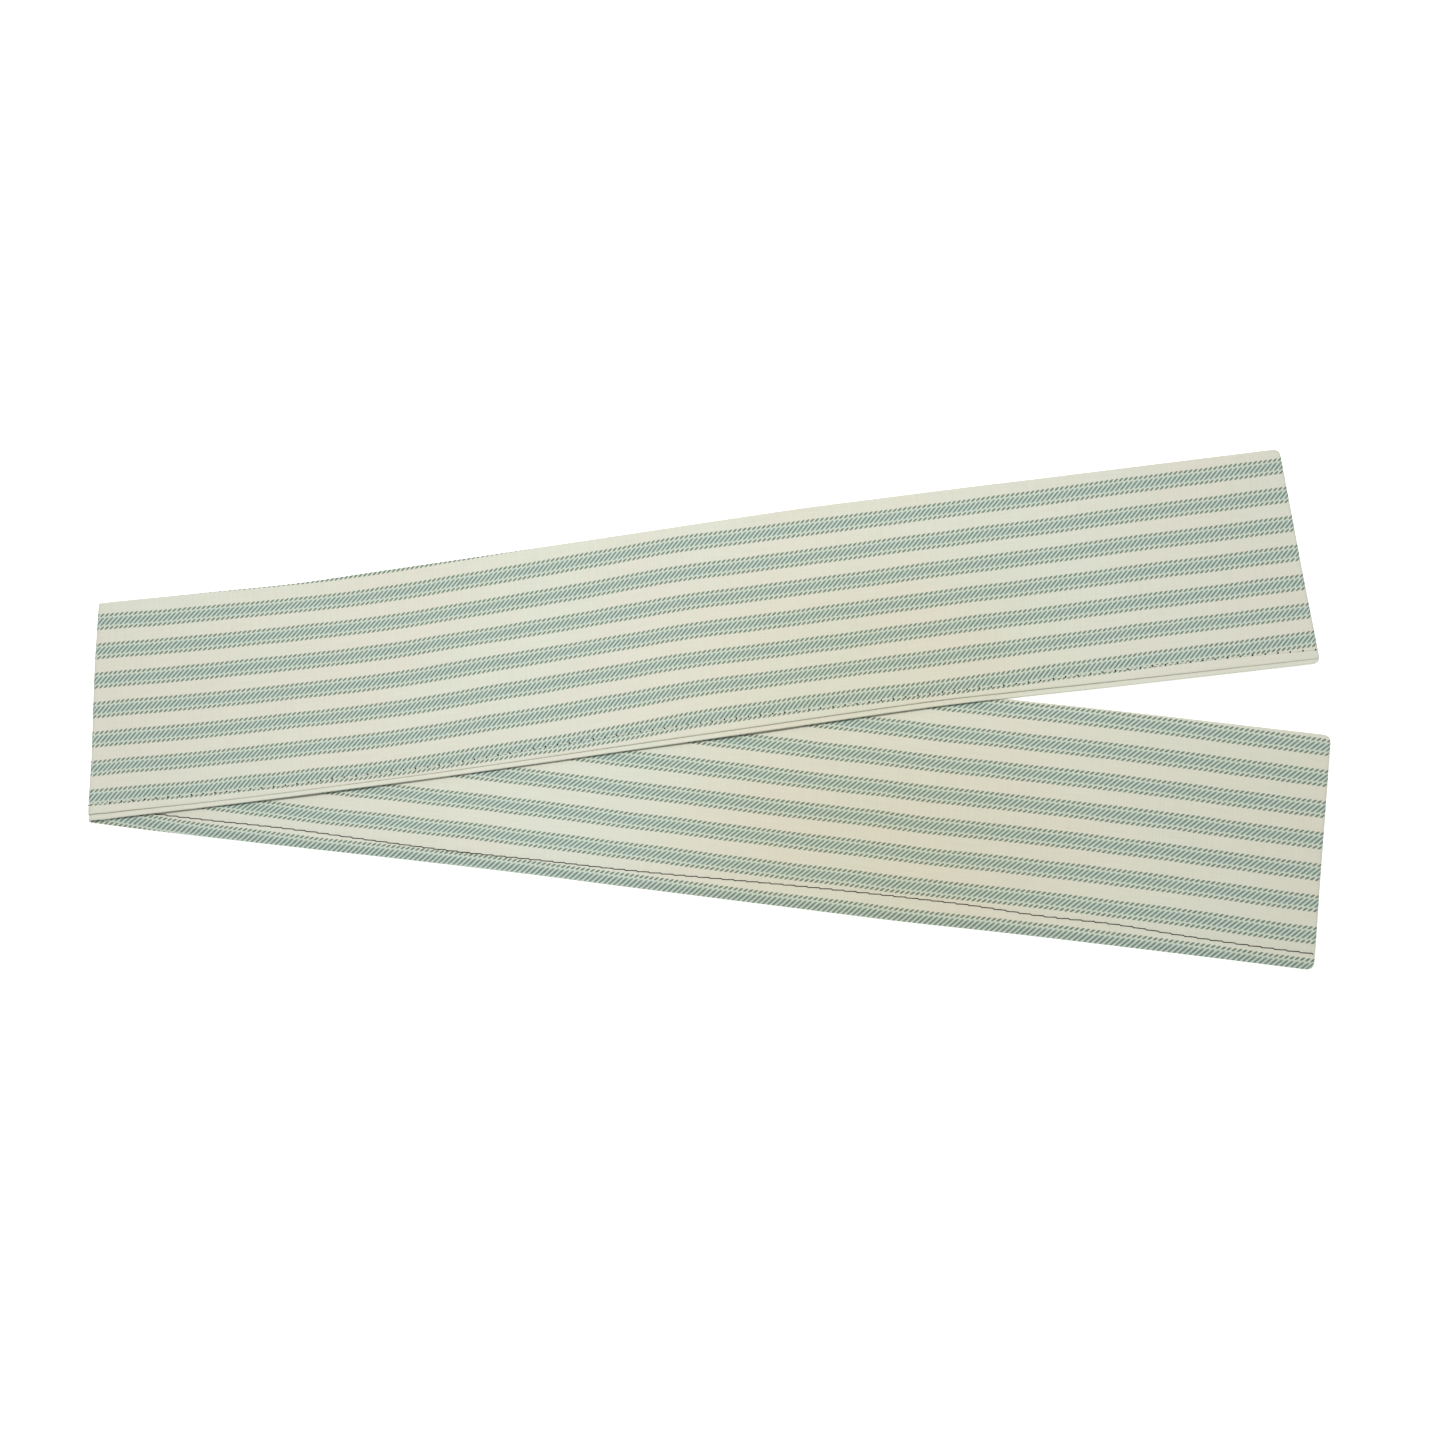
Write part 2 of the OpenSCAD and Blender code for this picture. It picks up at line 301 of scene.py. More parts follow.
def place(s, p, q):
    """Developed position (s along, p across, q above the outer face of ply 1) to
    the frame, and the share of the fold's turn that the point follows."""
    s, p, q = (np.asarray(a, float) for a in np.broadcast_arrays(s, p, q))
    s0, p0 = s, p
    s, p = corners(s, p)
    v = plan(s, p)
    pc = np.clip(p, 0, RUN_W)
    s = s + run_out(s, pc)
    d, e = s * CB - v * SB, s * SB + v * CB
    lo, up = d < -BEND / 2, d > BEND / 2
    phi = np.clip((d + BEND / 2) / BEND, 0, 1) * math.pi
    r = bend_r(pc)
    x = np.where(lo, -d - BEND / 2, np.where(up, d - BEND / 2, -(r - q) * np.sin(phi)))
    z_lo = q + lift_lo(s, pc)
    z_up = mid_up(s, pc) + stack_h(pc) / 2 - q
    z_bend = r - (r - q) * np.cos(phi)
    # at the stitched edge the plies are pressed flush with each other in the bend
    flush = (0.45 * (1 - sstep(2.5, 7.0, pc)) * (1 - np.clip(q / 1.2, 0, 1))
             - 0.35 * (q / SEAM_H) * (1 - sstep(1.6, 3.4, pc)))
    x = x + fold_in(s0, pc) + flush * np.sin(phi)
    z = np.where(lo, z_lo, np.where(up, z_up, z_bend))
    xyz = np.stack([HX + HGAP + x, HY + e, z], -1)
    return xyz * MM, phi / math.pi


# --------------------------------------------------------------------------
# The cloth: one grid, carried round the folded section and over the ends
# --------------------------------------------------------------------------
def arc(cp, cq, r, a0, a1, n=6):
    return [(cp + r * math.cos(math.radians(a0 + (a1 - a0) * i / n)),
             cq + r * math.sin(math.radians(a0 + (a1 - a0) * i / n))) for i in range(n + 1)]


def build_section():
    rt, rf = (PLY + LAY_GAP) / 2, (PLY + PLY_GAP) / 2
    fine = list(np.arange(1.0, 11.0, 0.9))
    coarse = list(np.linspace(13.0, RUN_W - 3.2, 28))
    pts, kind = [], []

    def add(ps, k):
        for a in ps:
            if pts and abs(pts[-1][0] - a[0]) + abs(pts[-1][1] - a[1]) < 1e-6:
                continue
            pts.append(a)
            kind.append(k)
    c1 = STEP + PLY + LAY_GAP / 2
    c2 = PLY + LAY_GAP / 2
    cf = RUN_W - PLY - PLY_GAP / 2
    add([(STEP + ALLOW - x, 1.5 * PLY + LAY_GAP) for x in (0, 2.4, 4.8, 7.0, 8.6)], "in1")
    add(arc(c1, PLY + LAY_GAP / 2, rt, 90, 270), "turn1")
    add([(c1 + x, PLY / 2) for x in fine[:-2]], "ply1")
    add([(x, PLY / 2) for x in [12.2] + coarse + [RUN_W - 1.6]], "ply1")
    add(arc(cf, PLY + PLY_GAP / 2, rf, -90, 90), "foldF")
    add([(x, float(stack_h(x)) - PLY / 2) for x in [RUN_W - 1.6] + coarse[::-1] + [12.2]], "ply2")
    add([(c2 + x, float(stack_h(c2 + x)) - PLY / 2) for x in fine[::-1]], "ply2")
    last = arc(c2, SEAM_H - PLY - LAY_GAP / 2, rt, 90, 270)
    pts += last
    kind += ["turn2"] * len(last)
    pts += [(x, 2.5 * PLY + 2 * LAY_GAP) for x in (1.6, 2.4, 3.4, 5.6, 7.8, ALLOW)]
    kind += ["in2"] * 6
    pts = np.array(pts)
    t = np.gradient(pts, axis=0)
    t /= np.linalg.norm(t, axis=1)[:, None]
    nrm = np.stack([-t[:, 1], t[:, 0]], 1)
    c = np.concatenate([[0], np.cumsum(np.linalg.norm(np.diff(pts, axis=0), axis=1))])
    mid = [i for i, k in enumerate(kind) if k == "foldF"]
    c -= (c[mid[0]] + c[mid[-1]]) / 2
    return pts, nrm, c, np.array(kind)


SEC, SEC_N, SEC_C, SEC_K = build_section()


def pucker(s, p):
    """How far the stitching draws the outer faces in, deepest at each hole."""
    st = stitch_p(s)
    hole = 0.5 + 0.5 * np.cos(2 * math.pi * (np.asarray(s) - STITCH_0) / STITCH)
    near = np.exp(-((p - st) / 1.15) ** 2)
    wide = np.exp(-((p - st) / 3.2) ** 2)
    return near * (0.12 + 0.16 * hole) + 0.06 * wide


BOBBIN_GROOVE = 0.6


def build_cloth():
    # rows along the runner, closer at the bend and at the two ends
    inner = list(np.linspace(-BEND / 2 / CB, BEND / 2 / CB, 13))
    near = [3.8, 5.0]
    lattice = STITCH_0 + STITCH / 2 * np.arange(0, 2 * N_STITCH + 1)
    tail = lambda end: [end - x for x in (3.0, 2.3, 1.6, 0.8)]
    up = near + [x for x in lattice if 6.2 < x < S_HI - 3.4] + tail(S_HI)
    lo = near + [-x for x in lattice[::-1] if S_LO + 3.4 < x < -6.2] + tail(-S_LO)
    rows = [(-x, 0.0, 0.0) for x in lo[::-1]] + [(x, 0.0, 0.0) for x in inner] + [(x, 0.0, 0.0) for x in up]
    # (s0, turn angle, depth of the turned-in end allowance)
    turn = [(i * 180.0 / 6) for i in range(1, 7)]
    ins = [1.5, 4.0, 6.5, 9.0]
    tail_up = [(S_HI, a, 0.0) for a in turn] + [(S_HI, 180.0, x) for x in ins]
    tail_lo = [(S_LO, a, 0.0) for a in turn] + [(S_LO, 180.0, x) for x in ins]
    rows = tail_lo[::-1] + rows + tail_up
    nr, nc = len(rows), len(SEC)
    s0 = np.array([r[0] for r in rows])[:, None]
    ang = np.radians(np.array([r[1] for r in rows]))[:, None]
    back = np.array([r[2] for r in rows])[:, None]
    at_end = (np.array([r[1] for r in rows]) > 0)[:, None]
    sign = np.where(s0 < 0, -1.0, 1.0)

    rho = np.where(np.isin(SEC_K, ["ply1", "ply2"]), (PLY + LAY_GAP) / 2, 0.12)[None, :]
    P = np.repeat(SEC[:, 0][None, :], nr, 0)
    Q = np.repeat(SEC[:, 1][None, :], nr, 0)
    depth = np.where(at_end, rho * (1 - np.cos(ang)), 0.0)
    P = P + SEC_N[:, 0][None, :] * depth
    Q = Q + SEC_N[:, 1][None, :] * depth
    # the rows lean with the bend close to it
    lean = TB * (1 - sstep(8, 70, np.abs(s0)))
    S = s0 + (P - RUN_W / 2) * lean
    S_dev = S + 0.0 * P
    S = np.where(at_end, sign * (np.abs(s0) - rho + rho * np.sin(ang) - back), S)
    S_dev = np.where(at_end, sign * (np.abs(s0) + rho * ang + back), S_dev)
    # ply 1's turned edge wanders a little inside ply 2's
    drift = both(STEP_UP, STEP_UP, S) - STEP
    one = np.isin(SEC_K, ["in1", "turn1", "ply1"])[None, :]
    P = P + np.where(one, drift * (1 - sstep(12, 34, P)), 0.0)
    # ply 2's bare edge rolls towards ply 1
    two = np.isin(SEC_K, ["in2", "turn2", "ply2"])[None, :]
    roll = 0.85 - 0.35 * (1 - sstep(4, 14, np.abs(S)))
    Q = Q - np.where(two, roll * (1 - sstep(1.2, 2.6, P)), 0.0)
    # stitches draw both outer faces in
    pk = pucker(S, P) * (~at_end)
    pk = pk * np.where(np.isin(SEC_K, ["ply2", "in2"])[None, :], BOBBIN_GROOVE, 1.0)
    ply1, ply2 = (SEC_K == "ply1")[None, :], (SEC_K == "ply2")[None, :]
    in1, in2 = (SEC_K == "in1")[None, :], (SEC_K == "in2")[None, :]
    Q = Q + np.where(ply1, pk, 0) - np.where(ply2, pk, 0) + np.where(in1, 0.35 * pk, 0) - np.where(in2, 0.35 * pk, 0)
    xyz, w = place(S, P, Q)

    # pattern coordinates, in millimetres: along the cloth and across it
    c = SEC_C[None, :]
    k = np.where(c < 0, 0.986, 1.003)
    pat = both(PAT_LO, PAT_UP, np.clip(S_dev, S_LO, S_HI)) + k * c
    # the cloth does not lie quite true near the stitched edge
    one_in = one * (1 - sstep(6, 30, P)) * sstep(-10, 12, S_dev)
    pat = pat + one_in * DRAW_UP(np.clip(S_dev, 0, None))
    two_in = two * (1 - sstep(2, 34, P)) * sstep(-60, -4, S_dev)
    pat = pat + two_in * np.clip(10.2 - PAT_UP(np.clip(S_dev, 0, None)), 0.3, 3.0)
    uv = np.stack([S_dev, pat], -1)

    # which grid points exist: the end allowances only behind the plain plies
    main = (np.isin(SEC_K, ["ply1", "ply2"]) & (SEC[:, 0] > STEP + ALLOW + 1.5) & (SEC[:, 0] < RUN_W - 2.0))
    inward = np.isin(SEC_K, ["in1", "in2"])
    keep = np.ones((nr, nc), bool)
    keep[(back[:, 0] > 0), :] = main[None, :]
    short = (np.abs(s0[:, 0]) > np.where(s0[:, 0] < 0, -S_LO, S_HI) - 0.7)
    keep[np.ix_(short, inward & ~((SEC_K == "in2") & (SEC[:, 0] < 2.6)))] = False
    idx = -np.ones((nr, nc), int)
    idx[keep] = np.arange(keep.sum())
    faces = []
    for i in range(nr - 1):
        a, b = idx[i], idx[i + 1]
        ok = (a[:-1] >= 0) & (a[1:] >= 0) & (b[:-1] >= 0) & (b[1:] >= 0)
        for j in np.nonzero(ok)[0]:
            faces.append((int(a[j]), int(b[j]), int(b[j + 1]), int(a[j + 1])))
    used = np.zeros(int(keep.sum()), bool)
    used[np.array(faces).ravel()] = True
    renum = np.cumsum(used) - 1
    verts = xyz[keep][used]
    faces = renum[np.array(faces)]
    return verts, faces, uv[keep][used], w[keep][used]


def mesh_object(name, verts, faces, uv=None, weights=None):
    me = bpy.data.meshes.new(name)
    me.from_pydata([tuple(v) for v in verts], [], [tuple(int(i) for i in f) for f in faces])
    if uv is not None:
        layer = me.uv_layers.new(name="cloth_mm")
        loops = np.zeros(len(me.loops), np.int32)
        me.loops.foreach_get("vertex_index", loops)
        layer.data.foreach_set("uv", (uv[loops] * MM).astype(np.float32).ravel())
    if weights is not None:
        at = me.attributes.new("fold_share", "FLOAT", "POINT")
        at.data.foreach_set("value", weights.astype(np.float32))
    me.update()
    ob = bpy.data.objects.new(name, me)
    bpy.context.scene.collection.objects.link(ob)
    me.shade_smooth()
    return ob


def apply_all(ob):
    dg = bpy.context.evaluated_depsgraph_get()
    me = bpy.data.meshes.new_from_object(ob.evaluated_get(dg), preserve_all_data_layers=True, depsgraph=dg)
    old = ob.data
    ob.modifiers.clear()
    ob.data = me
    bpy.data.meshes.remove(old)
    me.name = ob.name


def follow_fold(ob):
    """Bends the piece at the fold: each point turns by its own share."""
    me = ob.data
    share = np.zeros(len(me.vertices), np.float32)
    me.attributes["fold_share"].data.foreach_get("value", share)
    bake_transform(ob, "lower_half", "upper_half", start=mm(HX, HY, 0), end=mm(HX, HY, 2 * HINGE_Z))
    me.attributes["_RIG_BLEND"].data.foreach_set("value", np.clip(share, 0, 1))
    me.attributes.remove(me.attributes["fold_share"])
    me.update()


verts, faces, uv, weights = build_cloth()
cloth = mesh_object("runner_cloth", verts, faces, uv, weights)
sol = cloth.modifiers.new("ply", "SOLIDIFY")
sol.thickness = PLY * MM
sol.offset = 0.0
sol.use_rim = True
sol.use_even_offset = False
apply_all(cloth)
cloth.data.shade_smooth()


# --------------------------------------------------------------------------
# Threads: tubes along the real route of a lockstitch
# --------------------------------------------------------------------------
def tube(name, pts, rad, weights=None, sides=8):
    pts = np.asarray(pts, float)
    n = len(pts)
    rad = np.broadcast_to(np.asarray(rad, float), (n,)) * MM
    tan = np.gradient(pts, axis=0)
    tan /= np.maximum(np.linalg.norm(tan, axis=1)[:, None], 1e-12)
    ref = np.array([0.0, 0.0, 1.0])
    first = ref - tan[0] * (ref @ tan[0])
    if np.linalg.norm(first) < 1e-3:
        first = np.array([0.0, 1.0, 0.0]) - tan[0] * tan[0][1]
    fr = np.zeros_like(pts)
    fr[0] = first / np.linalg.norm(first)
    for i in range(1, n):
        f = fr[i - 1] - tan[i] * (fr[i - 1] @ tan[i])
        ln = np.linalg.norm(f)
        fr[i] = f / ln if ln > 1e-6 else fr[i - 1]
    bn = np.cross(tan, fr)
    a = 2 * math.pi * np.arange(sides) / sides
    ring = (pts[:, None, :] + rad[:, None, None]
            * (np.cos(a)[None, :, None] * fr[:, None, :] + np.sin(a)[None, :, None] * bn[:, None, :]))
    v = ring.reshape(-1, 3)
    k = np.arange(sides)
    f = []
    for i in range(n - 1):
        lo, hi = i * sides, (i + 1) * sides
        f += [(lo + j, lo + (j + 1) % sides, hi + (j + 1) % sides, hi + j) for j in range(sides)]
    caps = [tuple(int(x) for x in k[::-1]), tuple(int(x) for x in (n - 1) * sides + k)]
    length = np.concatenate([[0], np.cumsum(np.linalg.norm(np.diff(pts, axis=0), axis=1))])
    me = bpy.data.meshes.new(name)
    me.from_pydata([tuple(x) for x in v], [], [tuple(int(i) for i in x) for x in f] + caps)
    layer = me.uv_layers.new(name="thread_m")
    loops = np.zeros(len(me.loops), np.int32)
    me.loops.foreach_get("vertex_index", loops)
    u = np.stack([length[loops // sides], (loops % sides) / sides], 1)
    layer.data.foreach_set("uv", u.astype(np.float32).ravel())
    if weights is not None:
        at = me.attributes.new("fold_share", "FLOAT", "POINT")
        at.data.foreach_set("value", np.repeat(weights, sides).astype(np.float32))
    me.update()
    ob = bpy.data.objects.new(name, me)
    bpy.context.scene.collection.objects.link(ob)
    me.shade_smooth()
    return ob


R_THREAD = 0.19


def wob(k, a):
    """A small repeatable unevenness from stitch to stitch."""
    return math.sin(k * 12.9898 + a * 78.233) * 0.5 + math.sin(k * 4.137 + a * 9.71) * 0.5


def topstitch():
    """The needle thread on ply 1 and the bobbin thread on ply 2, which lock inside."""
    holes = [STITCH_0 + STITCH * k for k in range(N_STITCH + 1)]
    nd, bb = [], []
    for n, h in enumerate(holes):
        k = n
        side = 0.10 * wob(k, 1)
        # bobbin: comes along ply 2, rises through the hole as a small loop that
        # shows on ply 1, and goes back
        pull = 0.05 + 0.05 * wob(k, 2)
        bb += [(h - 0.32, -0.17, "b", 0.10, 0.21), (h - 0.13, -0.14, "b", 0.07, 0.21),
               (h - 0.09, -0.05, "m", 0.75, 0.15), (h - 0.14 + side * 0.3, -0.06, "n", -0.05, 0.20),
               (h - 0.09 + side, -0.05, "n", 0.19 + pull, 0.32 + 0.05 * wob(k, 5)),
               (h + 0.09 + side, 0.05, "n", 0.19 + pull, 0.32 + 0.05 * wob(k, 6)),
               (h + 0.14 + side * 0.3, 0.06, "n", -0.05, 0.20),
               (h + 0.09, 0.05, "m", 0.75, 0.15), (h + 0.13, 0.14, "b", 0.07, 0.21), (h + 0.32, 0.17, "b", 0.10, 0.21)]
        if n < len(holes) - 1:
            for f, up in ((0.2, 0.08), (0.35, 0.08), (0.5, 0.09), (0.65, 0.08), (0.8, 0.08)):
                bb.append((h + STITCH * f, 0.19 - 0.38 * f + 0.03 * wob(k, 3 + f), "b", up, 0.18))
            nd += [(h + 0.30, 0.0, "m", 0.35, R_THREAD * 0.8), (h + 0.50, 0.0, "n", -0.10, R_THREAD * 0.9)]
            for f, up in ((0.2, 0.03), (0.35, 0.08), (0.5, 0.09), (0.65, 0.08), (0.8, 0.03)):
                nd.append((h + STITCH * f, 0.05 * wob(k, 7 + f), "n", up, R_THREAD))
            nd += [(h + STITCH - 0.50, 0.0, "n", -0.10, R_THREAD * 0.9), (h + STITCH - 0.30, 0.0, "m", 0.35, R_THREAD * 0.8)]

    def lay(route):
        s = np.array([r[0] for r in route])
        p = stitch_p(s) + np.array([r[1] for r in route])
        pk = pucker(s, p)
        h = stack_h(p)
        q = np.zeros(len(route))
        for i, (_, _, where, up, _) in enumerate(route):
            if where == "n":
                q[i] = pk[i] - up
            elif where == "b":
                q[i] = h[i] - BOBBIN_GROOVE * pk[i] + up
            else:
                q[i] = up
        # pressed flat where the cloth is folded
        rad = np.array([r[4] for r in route])
        loop = (np.abs(s) < 4.5) & (rad > 0.25)
        q[loop] += 0.28
        rad[loop] = 0.2
        xyz, w = place(s, p, q)
        return xyz, rad, w
    return lay(nd), lay(bb)


(nd_pts, nd_rad, nd_w), (bb_pts, bb_rad, bb_w) = topstitch()
needle = tube("topstitch_needle_thread", nd_pts, nd_rad, nd_w, sides=8)
bobbin = tube("topstitch_bobbin_thread", bb_pts, bb_rad, bb_w, sides=8)


def end_seam(name, end, sign, inset, q0, phase):
    """A hidden seam thread across one end, inside the turned edge."""
    ps = np.arange(STEP + 2.2, RUN_W - 3.0, 0.5)
    s = end - sign * (inset + 0.12 * np.sin(2 * math.pi * ps / 2.5 + phase))
    q = q0 + 0.05 * np.cos(2 * math.pi * ps / 2.5 + phase)
    h = stack_h(ps)
    xyz, _ = place(s, ps, q * h / BODY_H)
    return tube(name, xyz, 0.11, sides=6)


seams = {}
for half, end, sign in (("lower", S_LO, -1.0), ("upper", S_HI, 1.0)):
    for kind, q0, ph in (("needle", 0.53, 0.0), ("bobbin", 0.67, math.pi)):
        nm = f"{half}_end_seam_{kind}_stitches"
        seams[(half, kind)] = end_seam(nm, end, sign, 0.95 if kind == "needle" else 1.25, q0, ph)


# --------------------------------------------------------------------------
# Materials
# --------------------------------------------------------------------------
def lin(r, g, b):
    f = lambda c: c / 12.92 if c <= 0.04045 else ((c + 0.055) / 1.055) ** 2.4
    return (f(r / 255), f(g / 255), f(b / 255), 1.0)


class Graph:
    """Short names for the shader nodes used here."""

    def __init__(self, name):
        self.mat = bpy.data.materials.new(name)
        self.mat.use_nodes = True
        self.nt = self.mat.node_tree
        self.nt.nodes.clear()
        self.out = self.nt.nodes.new("ShaderNodeOutputMaterial")
        self.bsdf = self.nt.nodes.new("ShaderNodeBsdfPrincipled")
        self.nt.links.new(self.bsdf.outputs[0], self.out.inputs[0])

    def put(self, sock, v):
        if hasattr(v, "default_value") or isinstance(v, bpy.types.NodeSocket):
            self.nt.links.new(v, sock)
        else:
            sock.default_value = v

    def m(self, op, a, b=None, c=None, clamp=False):
        n = self.nt.nodes.new("ShaderNodeMath")
        n.operation = op
        n.use_clamp = clamp
        self.put(n.inputs[0], a)
        if b is not None:
            self.put(n.inputs[1], b)
        if c is not None:
            self.put(n.inputs[2], c)
        return n.outputs[0]

    def smooth(self, x, lo, hi):
        n = self.nt.nodes.new("ShaderNodeMapRange")
        n.interpolation_type = "SMOOTHSTEP"
        self.put(n.inputs["Value"], x)
        self.put(n.inputs["From Min"], lo)
        self.put(n.inputs["From Max"], hi)
        return n.outputs["Result"]

    def mix(self, f, a, b, mode="MIX"):
        n = self.nt.nodes.new("ShaderNodeMix")
        n.data_type = "RGBA"
        n.blend_type = mode
        self.put(n.inputs[0], f)
        self.put(n.inputs[6], a)
        self.put(n.inputs[7], b)
        return n.outputs[2]

    def noise(self, vec, scale, detail=2.0, rough=0.5):
        n = self.nt.nodes.new("ShaderNodeTexNoise")
        self.put(n.inputs["Vector"], vec)
        n.inputs["Scale"].default_value = scale
        n.inputs["Detail"].default_value = detail
        n.inputs["Roughness"].default_value = rough
        return n.outputs["Fac"]

    def xyz(self, x, y, z=0.0):
        n = self.nt.nodes.new("ShaderNodeCombineXYZ")
        self.put(n.inputs[0], x)
        self.put(n.inputs[1], y)
        self.put(n.inputs[2], z)
        return n.outputs[0]

    def uv(self, name):
        n = self.nt.nodes.new("ShaderNodeUVMap")
        n.uv_map = name
        sp = self.nt.nodes.new("ShaderNodeSeparateXYZ")
        self.nt.links.new(n.outputs[0], sp.inputs[0])
        return sp.outputs[0], sp.outputs[1]

    def bump(self, height, dist, strength=1.0, base=None):
        n = self.nt.nodes.new("ShaderNodeBump")
        n.inputs["Strength"].default_value = strength
        n.inputs["Distance"].default_value = dist
        self.put(n.inputs["Height"], height)
        if base is not None:
            self.nt.links.new(base, n.inputs["Normal"])
        return n.outputs[0]


def ticking():
    g = Graph("ticking_cloth")
    um, vm = g.uv("cloth_mm")
    s, P = g.m("MULTIPLY", um, 1000.0), g.m("MULTIPLY", vm, 1000.0)
    # uneven yarn: small wander of the pattern and of its edges
    fuzz = g.m("MULTIPLY_ADD", g.noise(g.xyz(s, P), 1.6, 2.0), 0.5, -0.25)
    drift = g.m("MULTIPLY_ADD", g.noise(g.xyz(s, P), 0.05, 1.0), 0.5, -0.25)
    w = g.m("WRAP", g.m("ADD", P, drift), 6.3, -6.3)
    aw = g.m("ABSOLUTE", w)
    sg = g.m("SIGN", w)
    pitch = 2.045
    # slanting lines of the hatch
    t = g.m("DIVIDE", g.m("SUBTRACT", s, w), pitch)
    tri = g.m("MULTIPLY", g.m("ABSOLUTE", g.m("SUBTRACT", g.m("FRACT", t), 0.5)), 2.0)
    trif = g.m("ADD", tri, g.m("MULTIPLY", fuzz, 0.5))
    end = g.m("POWER", g.m("DIVIDE", aw, 1.78), 6.0)
    duty = g.m("SUBTRACT", 0.525, g.m("MULTIPLY", end, 0.5))
    dash = g.m("SUBTRACT", 1.0, g.smooth(trif, g.m("SUBTRACT", duty, 0.13), g.m("ADD", duty, 0.13)))
    band = g.m("SUBTRACT", 1.0, g.smooth(aw, 1.62, 1.92))
    hatch = g.m("MULTIPLY", dash, band)
    # a row of slanting dots each side of the hatch
    t2 = g.m("SUBTRACT", t, g.m("MULTIPLY", sg, 0.235))
    tri2 = g.m("MULTIPLY", g.m("SUBTRACT", g.m("FRACT", t2), 0.5), 2.0)
    dx = g.m("DIVIDE", tri2, 0.54)
    dy = g.m("DIVIDE", g.m("SUBTRACT", aw, 2.8), 0.74)
    rr = g.m("ADD", g.m("POWER", g.m("ABSOLUTE", dx), 2.0), g.m("POWER", g.m("ABSOLUTE", dy), 2.4))
    dots = g.m("SUBTRACT", 1.0, g.smooth(g.m("ADD", rr, fuzz), 0.62, 1.35))
    # pale tint that the stripe leaves between its marks
    tint_in = g.m("SUBTRACT", 1.0, g.smooth(aw, 1.7, 2.5))
    tint_out = g.m("SUBTRACT", 1.0, g.smooth(aw, 3.1, 3.7))

    cream = lin(*CREAM)
    # wash of slightly warmer and cooler ground, and yarn-to-yarn variation
    big = g.noise(g.xyz(s, P), 0.012, 3.0, 0.55)
    warp = g.noise(g.xyz(g.m("MULTIPLY", s, 0.05), g.m("MULTIPLY", P, 3.0)), 1.0, 2.0)
    weft = g.noise(g.xyz(g.m("MULTIPLY", s, 3.0), g.m("MULTIPLY", P, 0.06)), 1.0, 2.0)
    yarn = g.m("ADD", warp, weft)
    ground = g.mix(g.smooth(big, 0.34, 0.66), cream, lin(*CREAM_WARM))
    ground = g.mix(g.m("MULTIPLY", g.smooth(yarn, 0.8, 1.25), 0.35), ground, lin(*CREAM_DARK))
    col = g.mix(g.m("MULTIPLY", tint_out, 0.45), ground, lin(*MINT))
    col = g.mix(g.m("MULTIPLY", tint_in, 0.75), col, lin(*MINT))
    tone = g.noise(g.xyz(s, P), 0.9, 2.0)
    blue = g.mix(g.smooth(tone, 0.35, 0.65), lin(*HATCH), lin(*HATCH2))
    olive = g.mix(g.smooth(tone, 0.35, 0.65), lin(*DOT), lin(*DOT2))
    col = g.mix(dots, col, olive)
    col = g.mix(hatch, col, blue)

    # plain weave: raised yarn crossings, in relief and as faint shade between yarns
    yw = 0.52
    a = g.m("SINE", g.m("MULTIPLY", s, 2 * math.pi / yw))
    b = g.m("SINE", g.m("MULTIPLY", P, 2 * math.pi / yw))
    weave = g.m("MULTIPLY", a, b)
    gapx = g.m("ABSOLUTE", g.m("SINE", g.m("MULTIPLY", s, math.pi / yw)))
    gapy = g.m("ABSOLUTE", g.m("SINE", g.m("MULTIPLY", P, math.pi / yw)))
    cells = g.m("MULTIPLY", gapx, gapy)
    shade = g.m("MULTIPLY_ADD", g.smooth(cells, 0.0, 0.5), 0.07, 0.93)
    # a faint warm patch a third of the way in from the ends, near the stitched
    # edge, and a slightly warmer outer end on ply 2
    ds = g.m("DIVIDE", g.m("SUBTRACT", g.m("ABSOLUTE", s), 328.0), 112.0)
    dp = g.m("DIVIDE", g.m("SUBTRACT", g.m("ABSOLUTE", P), 78.0), 85.0)
    far = g.m("SQRT", g.m("ADD", g.m("MULTIPLY", ds, ds), g.m("MULTIPLY", dp, dp)))
    patch = g.m("SUBTRACT", 1.0, g.smooth(far, 0.1, 1.1))
    tail = g.m("MULTIPLY", g.m("SUBTRACT", 1.0, g.smooth(s, -440.0, -300.0)), g.smooth(P, -5.0, 20.0))
    side = g.m("MULTIPLY_ADD", g.smooth(P, -5.0, 20.0), 0.2, 0.75)
    wash = g.m("ADD", g.m("MULTIPLY", patch, side), g.m("MULTIPLY", tail, 0.3), clamp=True)
    col = g.mix(wash, col, (0.955, 0.92, 0.845, 1.0), "MULTIPLY")
    n = g.nt.nodes.new("ShaderNodeVectorMath")
    n.operation = "SCALE"
    g.nt.links.new(col, n.inputs[0])
    g.nt.links.new(shade, n.inputs["Scale"])
    g.nt.links.new(n.outputs[0], g.bsdf.inputs["Base Color"])

